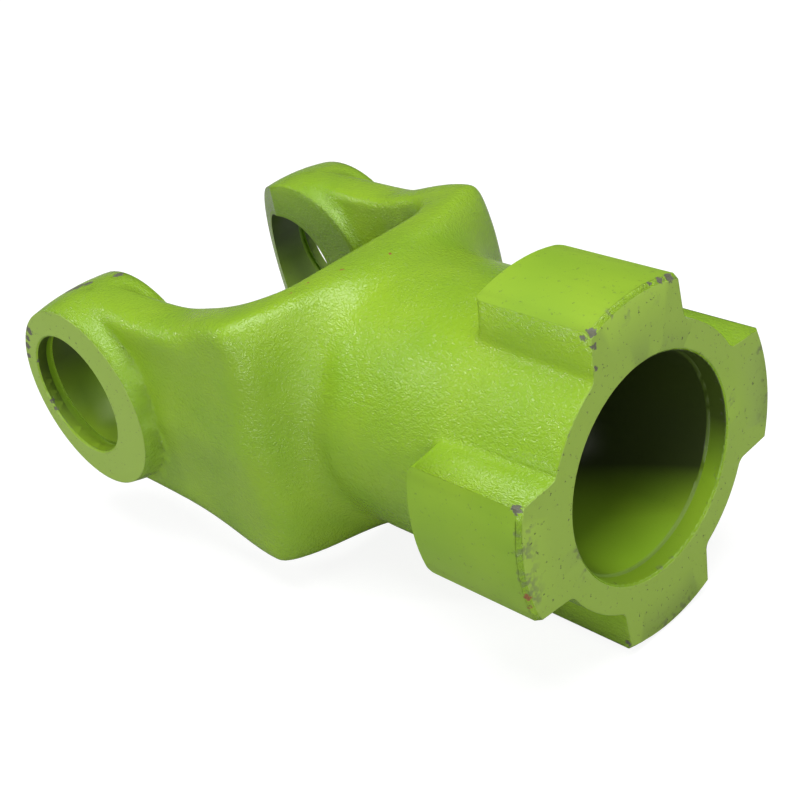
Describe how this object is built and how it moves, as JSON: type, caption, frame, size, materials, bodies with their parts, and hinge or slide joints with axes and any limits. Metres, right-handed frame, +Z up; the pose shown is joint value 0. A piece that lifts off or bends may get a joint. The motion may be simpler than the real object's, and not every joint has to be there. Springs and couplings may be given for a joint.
{
  "type": "forged yoke",
  "caption": "Forged joint yoke: a round hub with a large bore and square drive lugs, and a fork of bored ears for a cross.",
  "frame": {"origin": "joint centre, where the hub axis meets the axis of the cross bores", "axes": "+X along the hub towards its mouth, +Y along the cross bores, +Z up through a lug"},
  "size_m": [0.1555, 0.089, 0.0768],
  "materials": {
    "body": "satin"
  },
  "bodies": {
    "root": {"forged_yoke": "body"}
  },
  "joints": []
}
